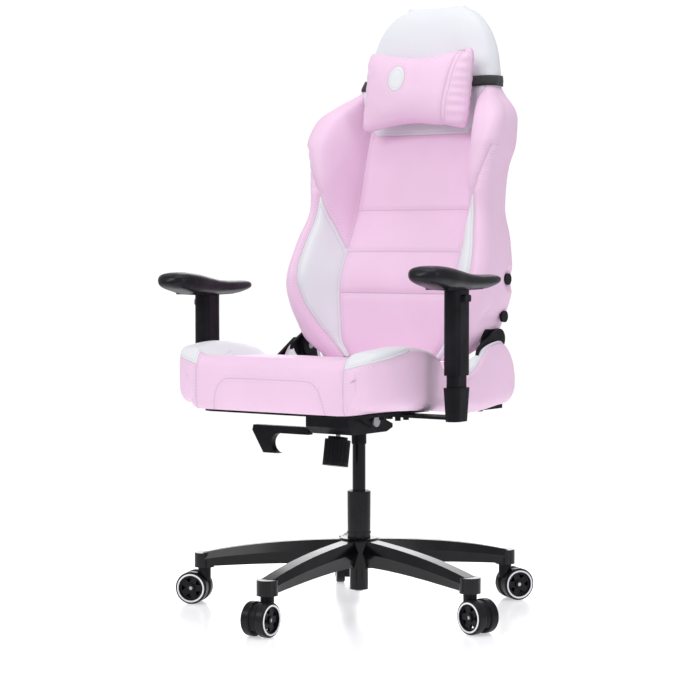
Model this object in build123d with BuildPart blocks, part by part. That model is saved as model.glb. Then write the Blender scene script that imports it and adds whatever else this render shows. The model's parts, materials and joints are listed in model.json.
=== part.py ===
from build123d import *
from math import cos, radians, sin
import os

# Gaming chair on a five-leg caster base. Millimetres, +Z up.
# Origin on the floor under the gas lift, front of the chair towards -Y,
# the sitter's left hand at +X.

# --- overall sizes ---
leg_count = 5
stem_circle = 349.5
first_leg_angle = 57.1
wheel_radius = 35.3
seat_half_width = 265.0
seat_front = -320.0
seat_deck = 440.0
back_pivot_y = 140.0
back_pivot_z = 560.0
back_top = 1311.0
pillow_width = 266.0
pillow_height = 180.0
pillow_thick = 68.0
pillow_lean = 9.0
pillow_shift = 8.0
pillow_y = 213.0
pillow_z = 1126.0
strap_low = 1134.0
strap_wide = 23.0
strap_thick = 2.0
arm_post_x = 322.0
arm_post_y = -118.0
left_arm_raise = 25.0
right_arm_raise = 8.0

# --- clearances ---
running_gap = 0.06
slide_gap = 0.08
body_gap = 0.3
wheel_gap = 0.6

# --- caster ---
caster_trail = 23.5
wheel_width = 20.0
hood_width = 12.8
hood_radius = 32.5
neck_radius = 14.0
stem_radius = 5.5
axle_radius = 4.0
stem_bottom = 60.0
boss_bottom = 80.0
boss_height = 32.0
boss_radius = 22.0
stem_top = boss_bottom + 24.0
rim_inner = 26.0
wheel_boss = 9.0
spoke_count = 5

# --- base and gas lift ---
hub_bottom = 95.0
hub_top = 157.0
hub_radius = 45.0
taper_low = 24.0
taper_high = 25.0
lower_tube_radius = 20.0
lower_tube_bottom = 45.0
tube_bore = 17.0
tube_top = 258.0
collar_radius = 27.0
bush_radius = 22.5
bush_length = 80.0
piston_radius = 14.0
piston_bore = 11.0
piston_bottom = 150.0
piston_top = 388.0
rod_radius = 5.0
valve_radius = 3.0
valve_rise = 3.0
gland = 15.0

# --- tilt mechanism ---
housing_half = 55.0
sheet = 3.0
socket_radius = 16.0
socket_bottom = 359.0
housing_floor = 386.0
housing_top = 424.0
tilt_y = -30.0
tilt_z = 412.0
shaft_radius = 7.0
plate_thick = 4.0
plate_half = 75.0
knob_y = -76.0
knob_lean = 10.0
knob_radius = 27.5
knob_length = 62.0
lever_y = -62.0
lever_rod = 4.0
lever_pivot_x = 53.5
lever_z = 397.0
bolt_radius = 3.0
head_radius = 6.0
head_height = 8.0

# --- seat and back frames ---
pan_thick = 6.0
pan_half = 205.0
bar_thick = 6.0
pivot_radius = 8.0
upper_plate_in = 231.0
upper_plate_out = 235.0
lower_plate_in = 236.0
lower_plate_out = 241.0
cover_out = 248.5
frame_tube = 11.0
back_bolts_yz = ((184.0, 632.0), (198.0, 712.0))
cap_radius = 12.5

# --- armrests ---
post_length_y = 52.0
post_width_x = 27.0
sleeve_length_y = 62.0
sleeve_width_x = 37.0
socket_top = 498.0
sleeve_height = 173.0
sleeve_cap = 32.0
post_top = socket_top + sleeve_height - sleeve_cap - 3
pad_width = 92.0
pad_front = -258.0
pad_rear = 3.0

leg_angles = [first_leg_angle + 360 / leg_count * i for i in range(leg_count)]
pan_bottom = seat_deck
pan_top = pan_bottom + pan_thick
os.makedirs("parts", exist_ok=True)


def save(shape, name):
    shape.label = name
    export_step(shape, "parts/" + name + ".step")


def side_plane(x):
    # sketch plane facing +X: sketch x runs along Y and sketch y along Z
    return Plane(origin=(x, 0, 0), x_dir=(0, 1, 0), z_dir=(1, 0, 0))


def section_plane(y):
    # upright plane across the chair: sketch x runs along X and sketch y along Z
    return Plane(origin=(0, y, 0), x_dir=(1, 0, 0), z_dir=(0, -1, 0))


# ---------- star base ----------
leg_stations = (
    (26.0, 46.0, 97.0, 154.0),
    (130.0, 44.0, 97.0, 147.0),
    (240.0, 43.0, 91.0, 134.0),
    (stem_circle, 42.0, boss_bottom + 2, boss_bottom + boss_height + 0.5),
)
with BuildPart() as leg:
    for reach, width, low, high in leg_stations:
        ridge = low + 0.55 * (high - low)
        with BuildSketch(side_plane(reach)):
            with BuildLine():
                Polyline(
                    (-0.32 * width, low),
                    (0.32 * width, low),
                    (0.5 * width, ridge),
                    (0.33 * width, high),
                    (-0.33 * width, high),
                    (-0.5 * width, ridge),
                    close=True,
                )
            make_face()
    loft()
    with Locations((stem_circle, 0, boss_bottom)):
        Cylinder(boss_radius, boss_height, align=(Align.CENTER, Align.CENTER, Align.MIN))
    with Locations((stem_circle, 0, boss_bottom)):
        Cylinder(
            stem_radius + running_gap,
            stem_top - boss_bottom + 1,
            align=(Align.CENTER, Align.CENTER, Align.MIN),
            mode=Mode.SUBTRACT,
        )

with BuildPart() as star_base:
    with Locations((0, 0, hub_bottom)):
        Cylinder(hub_radius, hub_top - hub_bottom, align=(Align.CENTER, Align.CENTER, Align.MIN))
    fillet(star_base.edges().sort_by(Axis.Z)[-1], 7)
    with Locations(*[Location((0, 0, 0), (0, 0, angle)) for angle in leg_angles]):
        add(leg.part)
    with Locations((0, 0, hub_bottom)):
        Cone(
            taper_low,
            taper_high,
            hub_top - hub_bottom,
            align=(Align.CENTER, Align.CENTER, Align.MIN),
            mode=Mode.SUBTRACT,
        )
save(star_base.part, "star_base")


# ---------- casters, drawn once on the stem axis and set round the base ----------
axle_spot = (caster_trail, 0, wheel_radius)
with BuildPart() as pins:
    with Locations((0, 0, stem_bottom)):
        Cylinder(stem_radius, stem_top - stem_bottom, align=(Align.CENTER, Align.CENTER, Align.MIN))
    with Locations(Location(axle_spot, (90, 0, 0))):
        Cylinder(axle_radius, hood_width + 2 * wheel_gap + 2 * wheel_width - 2)

with BuildPart() as housing:
    with BuildSketch(Plane.XZ):
        with Locations((caster_trail, wheel_radius)):
            Circle(hood_radius)
            with Locations((0, -hood_radius - 10)):
                Rectangle(2 * hood_radius, 2 * hood_radius - 20, mode=Mode.SUBTRACT)
    extrude(amount=hood_width / 2, both=True)
    with Locations((0, 0, 50)):
        Cylinder(
            neck_radius,
            boss_bottom - body_gap - 50,
            align=(Align.CENTER, Align.CENTER, Align.MIN),
        )
    for side in (-1, 1):
        sweep_y = side * (hood_width / 2 + wheel_width)
        with Locations(Location((caster_trail, sweep_y, wheel_radius), (90, 0, 0))):
            Cylinder(wheel_radius + 1.5, 2 * wheel_width, mode=Mode.SUBTRACT)
    add(pins.part, mode=Mode.SUBTRACT)

with BuildPart() as wheel:
    Cylinder(wheel_radius, wheel_width)
    fillet(wheel.edges().filter_by(GeomType.CIRCLE), 4)
    with BuildSketch(Plane.XY.offset(wheel_width / 2)):
        Circle(rim_inner)
        Circle(wheel_boss, mode=Mode.SUBTRACT)
    extrude(amount=-4, mode=Mode.SUBTRACT)
    with BuildSketch(Plane.XY.offset(-wheel_width / 2)):
        Circle(rim_inner)
        Circle(wheel_boss, mode=Mode.SUBTRACT)
    extrude(amount=10, mode=Mode.SUBTRACT)
    with BuildSketch(Plane.XY):
        with PolarLocations(18.5, spoke_count):
            Triangle(a=15, b=12, c=12, rotation=90)
    extrude(amount=wheel_width, both=True, mode=Mode.SUBTRACT)
    Hole(axle_radius + running_gap)

wheel_offset = hood_width / 2 + wheel_gap + wheel_width / 2
outer_wheel = wheel.part.moved(Location((caster_trail, -wheel_offset, wheel_radius), (90, 0, 0)))
inner_wheel = wheel.part.moved(Location((caster_trail, wheel_offset, wheel_radius), (-90, 0, 0)))
for number, angle in enumerate(leg_angles, start=1):
    turn = radians(angle)
    spot = Location((stem_circle * cos(turn), stem_circle * sin(turn), 0), (0, 0, angle))
    save(housing.part.moved(spot), f"caster_{number}_housing")
    save(pins.part.moved(spot), f"caster_{number}_pins")
    save(outer_wheel.moved(spot), f"caster_{number}_wheel_a")
    save(inner_wheel.moved(spot), f"caster_{number}_wheel_b")


# ---------- gas lift ----------
def disc(radius, low, high, mode=Mode.ADD):
    # upright cylinder on the lift axis between two heights
    with Locations((0, 0, low)):
        Cylinder(radius, high - low, align=(Align.CENTER, Align.CENTER, Align.MIN), mode=mode)


with BuildPart() as gas_cylinder:
    disc(lower_tube_radius, lower_tube_bottom, hub_bottom)
    with Locations((0, 0, hub_bottom)):
        Cone(
            taper_low,
            taper_high,
            hub_top - hub_bottom,
            align=(Align.CENTER, Align.CENTER, Align.MIN),
        )
    disc(taper_high, hub_top, tube_top)
    disc(collar_radius, hub_top + 10, hub_top + 13)
    disc(tube_bore, lower_tube_bottom + 5, tube_top, Mode.SUBTRACT)
    disc(bush_radius, tube_top - bush_length, tube_top, Mode.SUBTRACT)
    disc(rod_radius + running_gap, lower_tube_bottom, tube_top, Mode.SUBTRACT)
save(gas_cylinder.part, "gas_cylinder")

with BuildPart() as cylinder_bush:
    disc(bush_radius, tube_top - bush_length, tube_top)
    disc(piston_radius + running_gap, tube_top - bush_length, tube_top, Mode.SUBTRACT)
save(cylinder_bush.part, "cylinder_bush")

with BuildPart() as piston_rod:
    disc(rod_radius, lower_tube_bottom - 4, tube_top - 8)
    disc(9, lower_tube_bottom - 4, lower_tube_bottom - body_gap)
    disc(piston_bore - running_gap, tube_top - 20, tube_top - 8)
save(piston_rod.part, "piston_rod")

with BuildPart() as gas_piston:
    disc(piston_radius, piston_bottom, piston_top)
    disc(piston_bore, piston_bottom + gland, piston_top - gland, Mode.SUBTRACT)
    disc(rod_radius + running_gap, piston_bottom, piston_bottom + gland, Mode.SUBTRACT)
    disc(valve_radius + running_gap, piston_top - gland, piston_top, Mode.SUBTRACT)
save(gas_piston.part, "gas_piston")

with BuildPart() as valve_button:
    disc(valve_radius, piston_top - gland + 1, piston_top + valve_rise)
save(valve_button.part, "valve_button")


# ---------- tilt mechanism ----------
def housing_outline(inset, top):
    # side outline of the mechanism tray: distance along Y, then height
    return (
        (-118 + inset, 402 + inset),
        (-98, housing_floor + inset),
        (25, housing_floor + inset),
        (48 - inset, 394 + inset),
        (48 - inset, top - 22),
        (-10, top),
        (-118 + inset, top),
    )


knob_axis = Plane(
    origin=(0, knob_y, housing_floor),
    x_dir=(1, 0, 0),
    z_dir=(0, sin(radians(knob_lean)), cos(radians(knob_lean))),
)
knob_turn = -knob_lean
with BuildPart() as tilt_shaft:
    with Locations(Location((0, tilt_y, tilt_z), (0, 90, 0))):
        Cylinder(shaft_radius, 2 * (housing_half + 10))
    for side in (-1, 1):
        with Locations(Location((side * (housing_half + 10), tilt_y, tilt_z), (0, 90, 0))):
            Cylinder(12, 5)
save(tilt_shaft.part, "tilt_shaft")

with BuildPart() as tension_bolt:
    with Locations(Location((0, knob_y, housing_floor), (knob_turn, 0, 0))):
        with Locations((0, 0, -48)):
            Cylinder(5, 74, align=(Align.CENTER, Align.CENTER, Align.MIN))
        with Locations((0, 0, 26)):
            Cylinder(17, 3, align=(Align.CENTER, Align.CENTER, Align.MIN))
save(tension_bolt.part, "tension_bolt")

with BuildPart() as mechanism_housing:
    with BuildSketch(Plane.YZ):
        Polygon(*housing_outline(0, housing_top), align=None)
    extrude(amount=housing_half, both=True)
    with BuildSketch(Plane.YZ):
        Polygon(*housing_outline(sheet, housing_top + 30), align=None)
    extrude(amount=housing_half - sheet, both=True, mode=Mode.SUBTRACT)
    disc(socket_radius, socket_bottom, piston_top)
    disc(piston_radius, socket_bottom, piston_top, Mode.SUBTRACT)
    disc(valve_radius + 2, socket_bottom, piston_top + 4, Mode.SUBTRACT)
    with Locations(Location((-housing_half, lever_y, lever_z), (0, 90, 0))):
        Cylinder(lever_rod + 3, 10, mode=Mode.SUBTRACT)
    add(tilt_shaft.part, mode=Mode.SUBTRACT)
    add(tension_bolt.part, mode=Mode.SUBTRACT)
save(mechanism_housing.part, "mechanism_housing")

with BuildPart() as tension_spring:
    with BuildLine(knob_axis.offset(6)) as coil:
        Helix(pitch=6, height=16, radius=12)
    with BuildSketch(Plane(origin=coil.line @ 0, z_dir=coil.line % 0)):
        Circle(1.5)
    sweep()
save(tension_spring.part, "tension_spring")

with BuildPart() as tension_knob:
    with Locations(Location((0, knob_y, housing_floor), (knob_turn, 0, 0))):
        with Locations((0, 0, -1 - 6)):
            Cylinder(21, 6, align=(Align.CENTER, Align.CENTER, Align.MAX))
        with Locations((0, 0, -13)):
            Cylinder(knob_radius, knob_length - 6, align=(Align.CENTER, Align.CENTER, Align.MAX))
        with PolarLocations(knob_radius + 1, 20):
            with Locations((0, 0, -17)):
                Cylinder(
                    3,
                    knob_length - 18,
                    align=(Align.CENTER, Align.CENTER, Align.MAX),
                    mode=Mode.SUBTRACT,
                )
        with Locations((0, 0, -50)):
            Cylinder(
                5 + running_gap,
                60,
                align=(Align.CENTER, Align.CENTER, Align.MIN),
                mode=Mode.SUBTRACT,
            )
save(tension_knob.part, "tension_knob")

with BuildPart() as height_lever:
    with BuildLine() as lever_path:
        FilletPolyline(
            (-226, lever_y, housing_floor),
            (-76, lever_y, housing_floor),
            (-64, lever_y, lever_z),
            (-36, lever_y, lever_z),
            (-2, 0, lever_z),
            radius=6,
        )
    with BuildSketch(Plane(origin=lever_path.line @ 0, z_dir=lever_path.line % 0)):
        Circle(lever_rod)
    sweep()
    # small trunnion on the lever's pivot
    with Locations(Location((-lever_pivot_x, lever_y, lever_z), (90, 0, 0))):
        Cylinder(lever_rod + 1, 2 * lever_rod)
save(height_lever.part, "height_lever")

with BuildPart() as lever_grip:
    with BuildSketch(Plane.XZ.offset(-lever_y)):
        with BuildLine():
            Polyline(
                (-84, housing_floor - 8),
                (-84, housing_floor + 8),
                (-233, housing_floor + 8),
                (-236, housing_floor - 4),
                (-206, 334),
                (-164, 334),
            )
            ThreePointArc((-164, 334), (-184, 356), (-160, housing_floor - 8))
            Line((-160, housing_floor - 8), (-84, housing_floor - 8))
        make_face()
    extrude(amount=8, both=True)
    add(height_lever.part, mode=Mode.SUBTRACT)
save(lever_grip.part, "lever_grip")

# ---------- seat carrier plate, pan and its bolts ----------
bar_bolts = [
    (side * x, arm_post_y + y, seat_deck - bar_thick)
    for side in (-1, 1)
    for x in (150, 190)
    for y in (-15, 15)
]
plate_bolts = [(side * 68, y, seat_deck - plate_thick) for side in (-1, 1) for y in (-140, 115)]
foot_bolts = [(side * 197, y, seat_deck - bar_thick) for side in (-1, 1) for y in (115, 175)]
with BuildPart() as seat_bolts:
    for x, y, z in bar_bolts + plate_bolts + foot_bolts:
        with Locations((x, y, z - head_height)):
            Cylinder(head_radius, head_height, align=(Align.CENTER, Align.CENTER, Align.MIN))
        with Locations((x, y, z)):
            Cylinder(bolt_radius, pan_top - z, align=(Align.CENTER, Align.CENTER, Align.MIN))
save(seat_bolts.part, "seat_bolts")

with BuildPart() as seat_plate:
    with BuildSketch(Plane.XY.offset(seat_deck - plate_thick)):
        with Locations((0, -10)):
            RectangleRounded(2 * plate_half, 290, 20)
    extrude(amount=plate_thick)
    for side in (-1, 1):
        with BuildSketch(side_plane(side * (housing_half + 4.5))):
            with Locations((tilt_y, tilt_z)):
                Circle(15)
            with Locations((-25, seat_deck - plate_thick - 1)):
                Rectangle(190, 2)
            make_hull()
        extrude(amount=sheet / 2, both=True)
    with Locations(Location((0, tilt_y, tilt_z), (0, 90, 0))):
        Cylinder(shaft_radius + running_gap, 200, mode=Mode.SUBTRACT)
    add(seat_bolts.part, mode=Mode.SUBTRACT)
save(seat_plate.part, "seat_plate")

with BuildPart() as seat_pan:
    with BuildSketch(Plane.XY.offset(pan_bottom)):
        with Locations((0, -50)):
            RectangleRounded(2 * pan_half, 490, 40)
    extrude(amount=pan_thick)
    add(seat_bolts.part, mode=Mode.SUBTRACT)
save(seat_pan.part, "seat_pan")


# ---------- recline hinges ----------
def hinge_circle(radius, y, z):
    with Locations((y, z)):
        Circle(radius)


def x_cylinder(radius, x_from, x_to, y, z, mode=Mode.ADD):
    # cylinder along X between two stations
    with Locations(Location(((x_from + x_to) / 2, y, z), (0, 90, 0))):
        Cylinder(radius, abs(x_to - x_from), mode=mode)


with BuildPart() as hinge_pins:
    for side in (-1, 1):
        x_cylinder(
            pivot_radius,
            side * (upper_plate_in - 1),
            side * (lower_plate_out + 1),
            back_pivot_y,
            back_pivot_z,
        )
save(hinge_pins.part, "hinge_pins")

with BuildPart() as back_bolts:
    for side in (-1, 1):
        for y, z in back_bolts_yz:
            x_cylinder(5, side * (upper_plate_in - 12), side * 247, y, z)
            x_cylinder(cap_radius, side * 247, side * 254, y, z)
save(back_bolts.part, "back_bolts")

uppers = {}
lowers = {}
covers = {}
for side, name in ((1, "left"), (-1, "right")):
    with BuildPart() as upper:
        with BuildSketch(side_plane(side * (upper_plate_in + upper_plate_out) / 2)):
            hinge_circle(26, back_pivot_y, back_pivot_z)
            for y, z in back_bolts_yz:
                hinge_circle(14, y, z)
            make_hull()
        extrude(amount=(upper_plate_out - upper_plate_in) / 2, both=True)
        x_cylinder(
            pivot_radius + running_gap,
            side * 220,
            side * 250,
            back_pivot_y,
            back_pivot_z,
            Mode.SUBTRACT,
        )
        add(back_bolts.part, mode=Mode.SUBTRACT)
    save(upper.part, "hinge_upper_" + name)
    uppers[name] = upper.part

    with BuildPart() as lower:
        with BuildSketch(side_plane(side * (lower_plate_in + lower_plate_out) / 2)):
            hinge_circle(26, back_pivot_y, back_pivot_z)
            with Locations((145, seat_deck)):
                Rectangle(100, 2 * bar_thick)
            make_hull()
        extrude(amount=(lower_plate_out - lower_plate_in) / 2, both=True)
        with Locations((side * (190 + lower_plate_out) / 2, 145, seat_deck - bar_thick / 2)):
            Box(lower_plate_out - 190, 100, bar_thick)
        add(hinge_pins.part, mode=Mode.SUBTRACT)
        add(seat_bolts.part, mode=Mode.SUBTRACT)
    save(lower.part, "hinge_lower_" + name)
    lowers[name] = lower.part

    with BuildPart() as cover:
        with BuildSketch(side_plane(side * (lower_plate_out + cover_out) / 2)):
            hinge_circle(20, 104, 553)
            hinge_circle(26, back_pivot_y, back_pivot_z + 6)
            hinge_circle(22, 172, 584)
            make_hull()
        extrude(amount=(cover_out - lower_plate_out) / 2 - 0.1, both=True)
        add(hinge_pins.part, mode=Mode.SUBTRACT)
        if side < 0:
            x_cylinder(8.1, side * 240, side * 260, back_pivot_y, back_pivot_z, Mode.SUBTRACT)
    save(cover.part, "hinge_cover_" + name)
    covers[name] = cover.part

with BuildPart() as recline_lever:
    x_cylinder(8, -lower_plate_out - 1.3, -270, back_pivot_y, back_pivot_z)
    with BuildSketch(side_plane(-273)):
        hinge_circle(17, back_pivot_y, back_pivot_z)
        hinge_circle(11, back_pivot_y - 98, back_pivot_z - 52)
        make_hull()
    extrude(amount=3.5, both=True)
save(recline_lever.part, "recline_lever")

# ---------- seat cushion ----------
# station: y, half width, skirt, outer top, inner x, inner top, pan x, pan height
seat_stations = (
    (seat_front, 240, 475, 540, 195, 545, 170, 542),
    (seat_front + 15, 260, 459, 570, 205, 572, 180, 555),
    (-200, seat_half_width, 452, 580, 215, 584, 178, 550),
    (-91, seat_half_width, 444, 563, 215, 570, 172, 540),
    (-14, seat_half_width - 3, 438, 506, 215, 520, 175, 533),
    (60, seat_half_width - 3, 430, 525, 222, 528, 185, 532),
    (104, seat_half_width, 433, 572, 250, 574, 249.5, 533),
    (166, seat_half_width, 440, 580, 250, 582, 249.5, 527),
    (205, seat_half_width, 442, 540, 250, 541, 249.5, 512),
    (212, seat_half_width - 3, 452, 520, 250, 521, 249.5, 508),
)
with BuildPart() as seat_cushion:
    for y, half, skirt, outer_top, inner_x, inner_top, pan_x, pan_z in seat_stations:
        with BuildSketch(section_plane(y)):
            with BuildLine():
                Polyline(
                    (0, pan_top),
                    (pan_half, pan_top),
                    (pan_half + 2, skirt),
                    (half - 15, skirt),
                    (half, skirt + 20),
                    (half, outer_top - 8),
                    (half - 8, outer_top),
                    (inner_x, inner_top),
                    (pan_x, pan_z),
                    (0, pan_z),
                )
                mirror(about=Plane.YZ)
            make_face()
    loft(ruled=True)
    for side, name in ((1, "left"), (-1, "right")):
        add(lowers[name], mode=Mode.SUBTRACT)
        add(covers[name], mode=Mode.SUBTRACT)
        x_cylinder(34, side * 229, side * 250, back_pivot_y, back_pivot_z, Mode.SUBTRACT)
    x_cylinder(8.5, -245, -280, back_pivot_y, back_pivot_z, Mode.SUBTRACT)
    with Locations((0, 0, pan_bottom)):
        Box(
            2 * pan_half + 2,
            700,
            pan_thick,
            align=(Align.CENTER, Align.CENTER, Align.MIN),
            mode=Mode.SUBTRACT,
        )
save(seat_cushion.part, "seat_cushion")

# ---------- back frame and cushion ----------
with BuildPart() as back_frame:
    for side in (-1, 1):
        with BuildLine() as tube_path:
            FilletPolyline(
                (side * 205, 176, 600),
                (side * 205, 200, 722),
                (side * 196, 214, 850),
                (side * 165, 282, 1035),
                (side * 84, 297, 1150),
                (side * 66, 301, 1262),
                (0, 301, 1268),
                radius=26,
            )
        with BuildSketch(Plane(origin=tube_path.line @ 0, z_dir=tube_path.line % 0)):
            Circle(frame_tube)
        sweep()
        for y, z in back_bolts_yz:
            x_cylinder(10, side * 205, side * upper_plate_in, y, z)
    x_cylinder(9, -205, 205, 185, 646)
    x_cylinder(9, -165, 165, 281, 1033)
    add(back_bolts.part, mode=Mode.SUBTRACT)
save(back_frame.part, "back_frame")

# station: z, half width, wing front, panel half, panel front, side rear, rear
back_stations = (
    (548, 200, 111, 120, 120, 138, 143),
    (575, 225, 96, 138, 124, 192, 200),
    (592, 229, 89, 140, 126, 200, 212),
    (700, 264, 73, 151, 139, 206, 227),
    (790, 252, 100, 151, 177, 221, 256),
    (870, 232, 129, 151, 213, 234, 286),
    (950, 238, 132, 146, 228, 242, 298),
    (1005, 252, 137, 140, 236, 252, 305),
    (1060, 246, 163, 134, 248, 268, 314),
    (1100, 208, 212, 128, 258, 292, 322),
    (1124, 176, 244, 122, 263, 306, 328),
    (1150, 168, 256, 116, 264, 309, 330),
    (1200, 159, 263, 108, 266, 310, 332),
    (1250, 140, 271, 92, 270, 312, 332),
    (1285, 114, 281, 76, 279, 314, 328),
    (back_top, 78, 296, 60, 292, 314, 320),
)
with BuildPart() as back_cushion:
    for z, half, wing, panel_x, panel_y, side_rear, rear in back_stations:
        with BuildSketch(Plane.XY.offset(z)):
            with BuildLine():
                Polyline(
                    (0, panel_y),
                    (panel_x, panel_y),
                    (0.5 * half + 0.5 * panel_x, wing + 6),
                    (0.94 * half, wing),
                    (half, wing + 0.05 * half),
                    (half, side_rear - 8),
                    (0.93 * half, side_rear),
                    (0.55 * half, rear - 4),
                    (0, rear),
                )
                mirror(about=Plane.YZ)
            make_face()
    loft(ruled=True)
    add(back_frame.part, mode=Mode.SUBTRACT)
    add(back_bolts.part, mode=Mode.SUBTRACT)
    for name in ("left", "right"):
        add(uppers[name], mode=Mode.SUBTRACT)
save(back_cushion.part, "back_cushion")

# ---------- neck pillow and strap ----------
with BuildPart() as neck_pillow:
    with Locations(Location((pillow_shift, pillow_y, pillow_z), (-pillow_lean, 0, 0))):
        Box(pillow_width, pillow_thick, pillow_height)
    fillet(neck_pillow.edges(), 24)
save(neck_pillow.part, "neck_pillow")

# one half of the strap's path round the head, as (x, y) from the front middle to the rear middle
strap_half = [
    (0, 261.5),
    (121, 261.5),
    (148, 253),
    (164, 247),
    (175, 256),
    (175, 302),
    (163, 310),
    (96, 328),
    (0, 331.5),
]
strap_loop = strap_half + [(-x, y) for x, y in reversed(strap_half[1:-1])]
with BuildPart() as pillow_strap:
    with BuildSketch(Plane.XY.offset(strap_low)):
        Polygon(*strap_loop, align=None)
        offset(amount=strap_thick)
        Polygon(*strap_loop, align=None, mode=Mode.SUBTRACT)
    extrude(amount=strap_wide)
save(pillow_strap.part, "pillow_strap")


# ---------- armrests ----------
def oval(length_y, width_x):
    SlotOverall(length_y, width_x, rotation=90)


for side, name, raise_up in ((1, "left", left_arm_raise), (-1, "right", right_arm_raise)):
    arm_x = side * arm_post_x
    sleeve_bottom = socket_top + raise_up
    sleeve_top = sleeve_bottom + sleeve_height
    with BuildPart() as bar:
        with BuildSketch(Plane.XY.offset(seat_deck - bar_thick)):
            with Locations((side * (118 + arm_post_x + 8) / 2, arm_post_y)):
                RectangleRounded(arm_post_x + 8 - 118, 48, 6)
        extrude(amount=bar_thick)
        add(seat_bolts.part, mode=Mode.SUBTRACT)
    save(bar.part, "arm_bar_" + name)

    with BuildPart() as post:
        with BuildSketch(Plane.XY.offset(430)):
            with Locations((arm_x, arm_post_y)):
                oval(sleeve_length_y - 8, sleeve_width_x - 6)
        with BuildSketch(Plane.XY.offset(socket_top)):
            with Locations((arm_x, arm_post_y)):
                oval(sleeve_length_y + 2, sleeve_width_x + 2)
        loft()
        with BuildSketch(Plane.XY.offset(socket_top)):
            with Locations((arm_x, arm_post_y)):
                oval(post_length_y, post_width_x)
        extrude(amount=post_top - socket_top)
        add(bar.part, mode=Mode.SUBTRACT)
    save(post.part, "arm_post_" + name)

    trigger_z = sleeve_top - 18
    with BuildPart() as trigger:
        with Locations((arm_x + side * (sleeve_width_x / 2 + 1), arm_post_y, trigger_z)):
            Box(16, 22, 14)
        fillet(trigger.edges().filter_by(Axis.X), 4)
    save(trigger.part, "arm_trigger_" + name)

    with BuildPart() as sleeve:
        with BuildSketch(Plane.XY.offset(sleeve_bottom)):
            with Locations((arm_x, arm_post_y)):
                oval(sleeve_length_y, sleeve_width_x)
        extrude(amount=sleeve_height)
        with BuildSketch(Plane.XY.offset(sleeve_bottom)):
            with Locations((arm_x, arm_post_y)):
                oval(post_length_y + 2 * slide_gap, post_width_x + 2 * slide_gap)
        extrude(amount=sleeve_height - sleeve_cap, mode=Mode.SUBTRACT)
        with Locations((arm_x + side * 14, arm_post_y, trigger_z)):
            Box(30, 22 + 2 * body_gap, 14 + 2 * body_gap, mode=Mode.SUBTRACT)
        with Locations((arm_x, arm_post_y - 8, sleeve_top + 2)):
            Box(54, 130, 5)
    save(sleeve.part, "arm_sleeve_" + name)

    pad_low = sleeve_top + 4.5
    with BuildPart() as pad:
        with BuildSketch(side_plane(arm_x)):
            with BuildLine():
                Spline(
                    (pad_front, pad_low + 16),
                    (pad_front + 24, pad_low + 36),
                    (pad_front + 62, pad_low + 41),
                    (arm_post_y - 8, pad_low + 27),
                    (pad_rear - 42, pad_low + 22),
                    (pad_rear, pad_low + 10),
                )
                Polyline(
                    (pad_rear, pad_low + 10),
                    (pad_rear - 14, pad_low + 1),
                    (pad_rear - 60, pad_low),
                    (pad_front + 66, pad_low),
                    (pad_front + 40, pad_low + 8),
                    (pad_front, pad_low + 16),
                )
            make_face()
        extrude(amount=pad_width / 2, both=True)
        with BuildSketch(Plane.XY.offset(pad_low - 20)):
            with Locations((arm_x, (pad_front + pad_rear) / 2)):
                RectangleRounded(pad_width, pad_rear - pad_front, 38)
        extrude(amount=100, mode=Mode.INTERSECT)
    save(pad.part, "arm_pad_" + name)
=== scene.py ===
import json
import math
import bpy
import bmesh
import numpy as np
from mathutils import Matrix, Vector, noise


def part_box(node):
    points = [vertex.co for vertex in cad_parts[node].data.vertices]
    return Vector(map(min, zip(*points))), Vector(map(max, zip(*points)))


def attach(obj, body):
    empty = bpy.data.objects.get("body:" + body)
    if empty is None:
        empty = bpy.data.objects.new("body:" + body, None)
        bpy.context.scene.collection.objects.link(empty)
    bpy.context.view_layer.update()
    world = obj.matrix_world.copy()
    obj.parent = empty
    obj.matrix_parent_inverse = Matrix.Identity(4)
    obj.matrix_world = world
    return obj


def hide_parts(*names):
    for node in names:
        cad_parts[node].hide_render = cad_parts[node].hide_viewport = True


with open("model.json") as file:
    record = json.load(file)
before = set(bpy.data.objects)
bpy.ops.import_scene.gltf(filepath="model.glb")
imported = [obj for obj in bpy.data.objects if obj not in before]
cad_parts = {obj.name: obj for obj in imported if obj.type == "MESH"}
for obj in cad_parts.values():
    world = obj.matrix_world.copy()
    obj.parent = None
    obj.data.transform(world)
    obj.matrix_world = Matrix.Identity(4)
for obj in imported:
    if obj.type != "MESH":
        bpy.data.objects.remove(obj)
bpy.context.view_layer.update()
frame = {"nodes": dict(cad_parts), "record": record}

mm = 0.001
scene = bpy.context.scene


# material building

def srgb(r, g, b):
    # 0..255 screen colour to linear
    shades = (r, g, b)
    return tuple(((c / 255 + 0.055) / 1.055) ** 2.4 if c > 10 else c / 255 / 12.92 for c in shades) + (1.0,)


def darker(color, share):
    return tuple(c * share for c in color[:3]) + (1,)


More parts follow.
